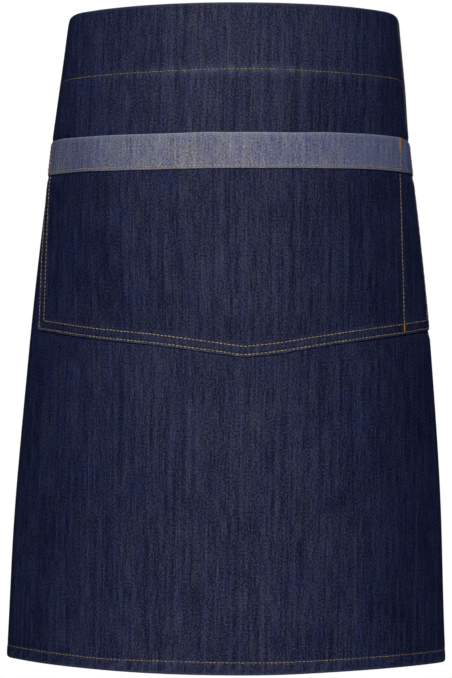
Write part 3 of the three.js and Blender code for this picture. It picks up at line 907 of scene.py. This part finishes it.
# a tie: the strap's section laid along the band's level from inside the side hem to the knot
def makeTie(name, node, hand):
    sizes = tieSizes
    level = bandMiddle
    at = np.array(level / wornForm["apronLength"])
    backMiddle = float(girthAt(halfWidthAt(at), at)) / 2
    start = halfPanel - sizes["overlap"]
    end = backMiddle - hand * wornForm["wearShift"] - 3.0
    along = hand * evenly(start, end, 2.0)[None, :]
    widths, half, edge = strapProfile(sizes["width"], sizes["wall"])
    down = (level - sizes["width"] / 2 + widths)[:, None]
    run = np.abs(along)
    # near the knot the strap is drawn together and puckers
    gather = easing((run - end + 16) / 16)
    down = level + (down - level) * (1 - 0.35 * gather)
    pucker = 0.5 * gather * np.sin((down - level) * 1.6 + 0.8)
    lift = sizes["lift"] - sizes["wall"] / 2 + pucker + 0.25 * wander(run, 40, 41)
    outer, inner = (clothPoint(along, down, lift + face * half[:, None]) for face in (1, -1))
    if hand < 0:
        # the grid is turned round, so that its faces still point outwards
        outer, inner, along, down = outer[:, ::-1], inner[:, ::-1], along[:, ::-1], down[::-1]
    tie = putWall(name, outer, inner, along + 2600, down, 0.5 * edge[:, None], indigo, indigo)
    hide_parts(node)
    return tie


tieLeft = makeTie("tieLeft", "tie_left", -1)
tieRight = makeTie("tieRight", "tie_right", 1)

knotLow, knotHigh = (np.array(corner) * 1000 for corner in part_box("tie_knot"))
knotCentre = (knotLow + knotHigh) / 2


# the knot: a pillow of drawn-in cloth with slanting creases, and a band wrapped upright round it
def makeKnot():
    sizes = tieSizes
    turns = np.linspace(0, 2 * np.pi, 73)[:-1]
    rise = np.linspace(-np.pi / 2, np.pi / 2, 37)[1:-1]
    t, r = np.meshgrid(turns, rise)

    def power(value, exponent):
        return np.sign(value) * np.abs(value) ** exponent
    creases = 1 + 0.05 * np.sin(5 * t + 3.2 * np.sin(r)) + 0.03 * np.sin(9 * t - 4 * r)
    x = sizes["knotWidth"] * 0.5 * power(np.cos(r), 0.75) * power(np.cos(t), 0.8) * creases
    y = sizes["knotDepth"] * 0.36 * power(np.cos(r), 0.75) * power(np.sin(t), 0.8) * creases
    z = sizes["knotHeight"] * 0.42 * power(np.sin(r), 0.85)
    pillow = np.stack([x, y, z], -1) + knotCentre
    rows, columns = t.shape
    index = np.arange(rows * columns).reshape(rows, columns)
    nextColumn = np.roll(index, -1, axis=1)
    sides = np.stack([index[:-1], nextColumn[:-1], nextColumn[1:], index[1:]], -1).reshape(-1, 4)
    low, high = rows * columns, rows * columns + 1
    points = [pillow.reshape(-1, 3), knotCentre + np.array([[0, 0, z.min() - 0.6], [0, 0, z.max() + 0.6]])]
    caps = np.concatenate([np.stack([np.full(columns, low), nextColumn[0], index[0]], -1),
                           np.stack([np.full(columns, high), index[-1], nextColumn[-1]], -1)])
    # the wrap: a flattened round section carried along an upright oval ring
    around, section = np.meshgrid(np.linspace(0, 2 * np.pi, 61)[:-1], np.linspace(0, 2 * np.pi, 25)[:-1])
    ringY = sizes["knotDepth"] * 0.37 * power(np.cos(around), 0.8)
    ringZ = sizes["knotHeight"] * 0.44 * power(np.sin(around), 0.9)
    width = 8.2 - 1.8 * np.abs(np.cos(around)) ** 2
    thick = 1.15 + 0.2 * np.sin(6 * section + 2 * around)
    wrapX = width * power(np.cos(section), 0.85) + 1.6 * np.sin(around)
    wrapOut = thick * np.sin(section)
    wrapY, wrapZ = ringY + wrapOut * np.cos(around), ringZ + wrapOut * np.sin(around)
    wrap = np.stack([wrapX, wrapY, wrapZ], -1) + knotCentre
    ringIndex = np.arange(around.size).reshape(around.shape) + rows * columns + 2
    right, down = np.roll(ringIndex, -1, axis=1), np.roll(ringIndex, -1, axis=0)
    wrapSides = np.stack([ringIndex, right, np.roll(right, -1, axis=0), down], -1).reshape(-1, 4)
    points = np.concatenate(points + [wrap.reshape(-1, 3)])
    place = np.concatenate([np.stack([t * 12, r * 14], -1).reshape(-1, 2), np.zeros((2, 2)),
                            np.stack([section * 4, around * 10], -1).reshape(-1, 2)]) / 1000
    marks = {"wear": np.full(len(points), 0.12), "greyLitBlueShaded": np.full(len(points), 0.5)}
    faces = [caps, np.concatenate([sides, wrapSides])]
    knot = putMesh("tieKnot", points, faces, lambda corners: place[corners], marks, [indigo])
    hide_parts("tie_knot")
    return knot


# a tail: the strap's section carried down a line that leans out, with slow sine waves and a turned end
def makeTail(name, node, hand):
    sizes = tieSizes
    lean = math.radians(sizes["tailSpread"])
    run = evenly(-3.0, sizes["tailLength"], 3.0)[:, None]
    widths, half, edge = strapProfile(sizes["width"], sizes["wall"])
    offset = (widths - sizes["width"] / 2)[None, :]
    gather = 1 - easing(run / 22)
    offset = offset * (1 - 0.3 * gather)
    foot = knotCentre[2] - sizes["knotHeight"] / 2 - 0.3 - sizes["width"] / 2 * math.sin(lean)
    wave = easing(run / 120)
    x = (knotCentre[0] + hand * run * math.sin(lean) + offset * math.cos(lean)
         + 2.0 * wave * np.sin(run / 46 + hand))
    z = foot - run * math.cos(lean) + hand * offset * math.sin(lean)
    y = (knotCentre[1] + hand * (sizes["wall"] + 0.3) / 2 + 1.6 * wave * np.sin(run / 38 + 1.2 + 0.6 * hand)
         + 0.5 * gather * np.sin(offset * 0.8) + 0.02 * wave * offset * np.sin(run / 60))
    middle = np.stack(np.broadcast_arrays(x, y, z), -1)
    endThick = 1 + 0.35 * easing((run - sizes["tailLength"] + 9) / 1.5)
    shift = np.stack(np.broadcast_arrays(0 * x, half[None, :] * endThick, 0 * x), -1)
    outer, inner = (middle + shift)[:, ::-1], (middle - shift)[:, ::-1]
    wear = (0.5 * edge[None, :] + 0.5 * bell(run - sizes["tailLength"], 1.2))[:, ::-1]
    mapAcross = offset[:, ::-1] + 3400 + 60 * hand
    tail = putWall(name, outer, inner, mapAcross, run + 0 * offset, wear, indigo, indigo)
    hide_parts(node)
    return tail


tieKnot = makeKnot()
tailLeft = makeTail("tieTailLeft", "tie_tail_left", -1)
tailRight = makeTail("tieTailRight", "tie_tail_right", 1)
print("ties made")

# Stitches

stitchSizes = {
    "pitch": 3.05,
    "share": 0.97,          # of the pitch that shows as thread
    "sides": 6,
    "shadowReach": 0.35,      # how far a painted hole shadow goes on under the threads beside it
}

# half widths of a thread, how far its ends dip into the cloth and how dark their painted shade is
threadSizes = {
    "row": {"width": 0.34, "height": 0.28, "bury": 0.16, "endShade": 0.5},
    "panelRow": {"width": 0.3, "height": 0.28, "bury": 0.16, "endShade": 0.6},
    "cuffRow": {"width": 0.44, "height": 0.3, "bury": 0.14, "endShade": 0.6},
    "tack": {"width": 0.24, "height": 0.26, "bury": 0.3, "endShade": 0.7},
    "holeShadow": {"width": 0.36, "height": 0.12, "bury": 0.1, "endShade": 0.16},
    "lint": {"width": 0.3, "height": 0.3, "bury": 0.05, "endShade": 0.16},
}


# short threads between the two ends of each stitch: each is a six-sided capsule whose middle rides
# on the face, a pair of surface and lift functions, and whose ends dip into the cloth
def threadMesh(name, lines, face, kind, thread, seed, side=1):
    sizes, (surface, liftOf) = threadSizes[kind], face
    width, height, bury = sizes["width"], sizes["height"], sizes["bury"]
    rng = np.random.default_rng(seed)
    along = np.array([0.0, 0.16, 0.5, 0.84, 1.0])
    rise = np.array([-bury, 0.35 * height, 0.62 * height, 0.35 * height, -bury])
    size = np.array([0.45, 0.9, 1.0, 0.9, 0.45])
    # painted light along each stitch: a painted highlight at its middle and painted shade towards its ends,
    # where it dips into the cloth
    tone = np.array([sizes["endShade"], 0.5, 1.0, 0.5, sizes["endShade"]])
    starts, ends = lines
    places = starts[:, None] + (ends - starts)[:, None] * along[None, :, None]
    a, d = places[..., 0], places[..., 1]
    lift = liftOf(a, d)
    centre = surface(a, d, lift + side * rise[None, :])

    def unit(vectors):
        return vectors / np.linalg.norm(vectors, axis=-1, keepdims=True)
    out = unit(surface(a, d, lift + side) - surface(a, d, lift))
    sideways = unit(np.cross(unit(centre[:, -1:] - centre[:, :1]), out))
    count, sides = len(starts), stitchSizes["sides"]
    angles = np.arange(sides) * 2 * np.pi / sides
    thickness = rng.uniform(0.9, 1.1, (count, 1, 1, 1)) * size[None, :, None, None]
    ring = (sideways[:, :, None] * np.cos(angles)[None, None, :, None] * width
            + out[:, :, None] * np.sin(angles)[None, None, :, None] * height)
    points = centre[:, :, None] + ring * thickness
    index = np.arange(count * len(along) * sides).reshape(count, len(along), sides)
    turned = np.roll(index, -1, axis=2)
    quads = np.stack([index[:, :-1], index[:, 1:], turned[:, 1:], turned[:, :-1]], -1).reshape(-1, 4)
    caps = np.concatenate([index[:, 0], index[:, -1, ::-1]])
    if side < 0:
        quads, caps = quads[:, ::-1], caps[:, ::-1]
    place = np.stack(np.broadcast_arrays(along[None, :, None] * 0.9 + 0 * index,
                                         np.arange(sides)[None, None, :] / sides), -1).reshape(-1, 2)
    shade = np.repeat((rng.uniform(0.5, 0.8, count)[:, None] * tone[None, :]).ravel(), sides)
    piece = putMesh(name, points.reshape(-1, 3), [caps, quads], lambda corners: place[corners],
                    {"shade": shade}, [threads[thread]])
    return piece


# painted shade: dark marks in the gaps of a row, where the thread dips into its needle holes, each as wide
# as the gap is long
def paintHoleShadows(name, lines, face, seed):
    starts, ends = lines
    nearNext = np.hypot(*(starts[1:] - ends[:-1]).T) < stitchSizes["pitch"]
    first, last = ends[:-1][nearNext], starts[1:][nearNext]
    length = np.maximum(np.hypot(*(last - first).T), 0.01)
    reach = (last - first) / length[:, None] * stitchSizes["shadowReach"]
    threadMesh(name, (first - reach, last + reach), face, "holeShadow", "paintedHoleShade", seed)


# cuts a line of cloth places into stitches of even pitch, with a little unevenness
def stitchesAlong(across, down, seed):
    across, down = np.broadcast_arrays(np.asarray(across, float), np.asarray(down, float))
    travelled = np.concatenate([[0], np.cumsum(np.hypot(np.diff(across), np.diff(down)))])
    count = int(travelled[-1] / stitchSizes["pitch"])
    rng = np.random.default_rng(seed)
    pitch = travelled[-1] / count
    start = (np.arange(count) + 0.5 * (1 - stitchSizes["share"])) * pitch + rng.uniform(-0.1, 0.1, count)
    end = start + pitch * stitchSizes["share"] + rng.uniform(-0.12, 0.12, count)
    wobble = rng.uniform(-0.08, 0.08, (2, count))

    def at(distance):
        return np.stack([np.interp(distance, travelled, across) + wobble[0],
                         np.interp(distance, travelled, down) + wobble[1]], -1)
    return at(start), at(end)


def joined(lines):
    return np.concatenate([line[0] for line in lines]), np.concatenate([line[1] for line in lines])


acrossPanel = np.linspace(-halfPanel + 1.5, halfPanel - 1.5, 400)
sideDowns = np.linspace(1.5, wornForm["apronLength"] - panelSizes["hemTurn"], 300)

panelLines = joined([
    stitchesAlong(acrossPanel, bandLineAt(acrossPanel), 101),
    stitchesAlong(acrossPanel, hemLineAt(acrossPanel), 102),
    stitchesAlong(-panelSizes["sideLine"], sideDowns, 103),
    stitchesAlong(panelSizes["sideLine"], sideDowns, 104),
])


# the lift of the panel's inner face, which lies deeper where the facing or the hem is turned in
def panelInside(across, down):
    layers = np.where((down < wornForm["facingHeight"]) | (down > 489.5), 2, 1)
    thickness = panelSizes["wall"] * layers + panelSizes["foldGap"] * (layers - 1) + sideExtraAt(across)
    return panelRelief(across, down) - thickness


onPanel, insidePanel = (clothPoint, panelRelief), (clothPoint, panelInside)
# painted shade in the gaps of the panel's rows
paintHoleShadows("panelHoleShadows", panelLines, onPanel, 9)
threadMesh("panelStitches", panelLines, onPanel, "panelRow", "mustardThreadWorn", 1)
threadMesh("insideStitches", panelLines, insidePanel, "row", "mustardThread", 2, side=-1)


def pocketFace(across, down):
    return pocketLift(across, down) + pocketSizes["wall"] + pocketRelief(across, down)


# a row round the pocket at one distance from its edge: down the left side, along the V and up the right
def pocketRow(inset, topDown):
    side, tip, reach = halfPocket - inset, pocketSizes["tipShift"], np.linspace(0, 1, 60)
    lines = []
    for start, end in ((-side, -side), (-side, tip), (tip, side), (side, side)):
        across = start + (end - start) * reach
        down = pocketBottom(across) - inset
        if start == end:
            share = reach if start > 0 else 1 - reach
            down = down + (topDown - down) * share
        lines.append((across, down))
    return lines


cuffTop = pocketSizes["top"]
twinRows = (pocketSizes["outerLine"], pocketSizes["innerLine"])
pocketLines = []
for row, inset in enumerate(twinRows):
    for part, (a, d) in enumerate(pocketRow(inset, cuffTop + pocketSizes["cuffHeight"] + 0.6)):
        pocketLines.append(stitchesAlong(a, d, 120 + 10 * row + part))
dividerFoot = float(pocketBottom(np.array(dividerAt))) - pocketSizes["innerLine"]
pocketLines.append(stitchesAlong(dividerAt, np.linspace(cuffTop + 27.4, dividerFoot, 60), 140))
pocketLines = joined(pocketLines)
onPocket = (pocketPoint, pocketFace)
# painted shade in the gaps of the pocket's rows
paintHoleShadows("pocketHoleShadows", pocketLines, onPocket, 7)
threadMesh("pocketStitches", pocketLines, onPocket, "row", "mustardThread", 3)


def cuffFace(across, down):
    relief = cuffRelief(across, down - cuffTop) + borderAt(halfPocket - np.abs(across))
    return pocketLift(across, down) + cuffOutAt(across) + relief


onCuff = (pocketPoint, cuffFace)
cuffAcross = np.linspace(-halfPocket + 1, halfPocket - 1, 200)
footRow = stitchesAlong(cuffAcross, cuffTop + pocketSizes["cuffLine"], 150)
endDowns = np.linspace(cuffTop + 2, cuffTop + 26, 40)
cuffLines = [stitchesAlong(hand * (halfPocket - inset), endDowns, 160 + row * 2 + hand)
             for row, inset in enumerate(twinRows) for hand in (-1, 1)]
cuffLines.append(stitchesAlong(dividerAt, np.linspace(cuffTop + 9, cuffTop + 26, 40), 170))
# painted shade in the gaps of the cuff's rows
paintHoleShadows("cuffHoleShadows", joined(cuffLines), onCuff, 8)
allCuffLines = joined([footRow] + cuffLines)
threadMesh("cuffStitches", allCuffLines, onCuff, "cuffRow", "mustardThread", 4)


# a bar tack: close threads laid side by side across the seam
def barTack(middle, top, height, width, seed):
    rng = np.random.default_rng(seed)
    downs = np.arange(top, top + height, 0.36)
    starts = np.stack([middle - width / 2 + rng.uniform(-0.1, 0.1, len(downs)), downs], -1)
    ends = np.stack([middle + width / 2 + rng.uniform(-0.1, 0.1, len(downs)), downs + 0.18], -1)
    return starts, ends


cuffTacks = joined([barTack(dividerAt, cuffTop + 0.8, 8.2, 2.5, 181),
                    barTack(-halfPocket + 1.9, cuffTop + 1.4, 6.6, 2.5, 182),
                    barTack(halfPocket - 3.4, cuffTop + 1.4, 6.6, 2.5, 183)])
threadMesh("cuffBarTacks", cuffTacks, onCuff, "tack", "orangeThread", 5)
footTack = barTack(dividerAt, dividerFoot - 0.2, 6.6, 1.6, 184)
threadMesh("footBarTack", footTack, onPocket, "tack", "orangeThread", 6)

# a tiny pale fleck of lint on the cuff, right of its middle
lintStarts = np.array([[0.9, cuffTop + 10.2], [2.6, cuffTop + 10.0]])
lintEnds = np.array([[2.0, cuffTop + 11.4], [1.7, cuffTop + 12.0]])
threadMesh("cuffLint", (lintStarts, lintEnds), onCuff, "lint", "paleLint", 10)
print("stitches made")

# The stage: a pale floor, soft studio light and the camera

stageSizes = {
    "floorDrop": 1.1,       # below the origin, in metres
    "floorRadius": 3.0,
    "cameraDistance": 1.6,
    "cameraShift": -0.00333,
    "eyeDrop": 0.25085,     # the camera's height below the apron's top edge
    "lens": 114.71,
}


def makeStage():
    turns = np.linspace(0, 2 * np.pi, 65)[:-1]
    rim = np.stack([np.cos(turns), np.sin(turns), 0 * turns], -1) * stageSizes["floorRadius"]
    mesh = bpy.data.meshes.new("studioFloor")
    mesh.from_pydata((rim - np.array([0, 0, stageSizes["floorDrop"]])).tolist(), [], [list(range(64))])
    mesh.update()
    floor = bpy.data.objects.new("studioFloor", mesh)
    bpy.context.scene.collection.objects.link(floor)
    paint = bpy.data.materials.new("paleFloor")
    paint.use_nodes = True
    tree = paint.node_tree
    shader = tree.nodes["Principled BSDF"]
    shader.inputs["Base Color"].default_value = (0.35, 0.35, 0.35, 1)
    shader.inputs["Roughness"].default_value = 0.9
    # seen straight on, the floor glows up to the white of the room; it throws little light itself
    path = tree.nodes.new("ShaderNodeLightPath")
    shader.inputs["Emission Color"].default_value = (1, 1, 1, 1)
    glow = mathNode(tree, "MULTIPLY", path.outputs["Is Camera Ray"], 0.75)
    tree.links.new(glow, shader.inputs["Emission Strength"])
    mesh.materials.append(paint)


def addLight(name, spot, aim, size, power, colour, beam):
    light = bpy.data.lights.new(name, "AREA")
    light.spread = math.radians(beam)
    light.shape = "RECTANGLE"
    light.size, light.size_y = size
    light.energy = power
    light.color = colour
    lamp = bpy.data.objects.new(name, light)
    lamp.location = spot
    lamp.rotation_euler = (Vector(aim) - Vector(spot)).to_track_quat("-Z", "Y").to_euler()
    bpy.context.scene.collection.objects.link(lamp)


def makeWorld():
    world = bpy.data.worlds.new("whiteRoom")
    world.use_nodes = True
    tree = world.node_tree
    shown = tree.nodes["Background"]
    shown.inputs["Color"].default_value = (1, 1, 1, 1)
    shown.inputs["Strength"].default_value = 1.0
    lit = tree.nodes.new("ShaderNodeBackground")
    lit.inputs["Color"].default_value = (0.24, 0.40, 1.0, 1)
    lit.inputs["Strength"].default_value = 0.12
    path = tree.nodes.new("ShaderNodeLightPath")
    mix = tree.nodes.new("ShaderNodeMixShader")
    tree.links.new(path.outputs["Is Camera Ray"], mix.inputs[0])
    tree.links.new(lit.outputs[0], mix.inputs[1])
    tree.links.new(shown.outputs[0], mix.inputs[2])
    tree.links.new(mix.outputs[0], tree.nodes["World Output"].inputs["Surface"])
    bpy.context.scene.world = world


def makeCamera():
    camera = bpy.data.cameras.new("apronCamera")
    camera.sensor_width = 36
    camera.lens = stageSizes["lens"]
    camera.clip_end = 50
    holder = bpy.data.objects.new("apronCamera", camera)
    front = -(wornForm["waistFront"] + wornForm["bellyDepth"]) / 1000
    holder.location = (stageSizes["cameraShift"], front - stageSizes["cameraDistance"],
                       bandMiddle / 1000 - stageSizes["eyeDrop"])
    holder.rotation_euler = (math.pi / 2, 0, 0)
    bpy.context.scene.collection.objects.link(holder)
    bpy.context.scene.camera = holder


softboxes = {
    "frontSoftbox": {
        "spot": (-0.06, -1.9, 0.95), "aim": (-0.014, -0.1, -0.24), "size": (0.14, 1.7),
        "power": 1.86, "colour": (0.97, 0.985, 1.0), "beam": 17,
    },
    "backSoftbox": {
        "spot": (0.5, 2.2, 0.6), "aim": (0, 0, -0.24), "size": (1.2, 1.2),
        "power": 22, "colour": (1.0, 0.985, 0.96), "beam": 180,
    },
}

makeStage()
makeWorld()
for lampName, lampLooks in softboxes.items():
    addLight(lampName, **lampLooks)
makeCamera()
bpy.context.scene.view_settings.view_transform = "Standard"
print("stage made")
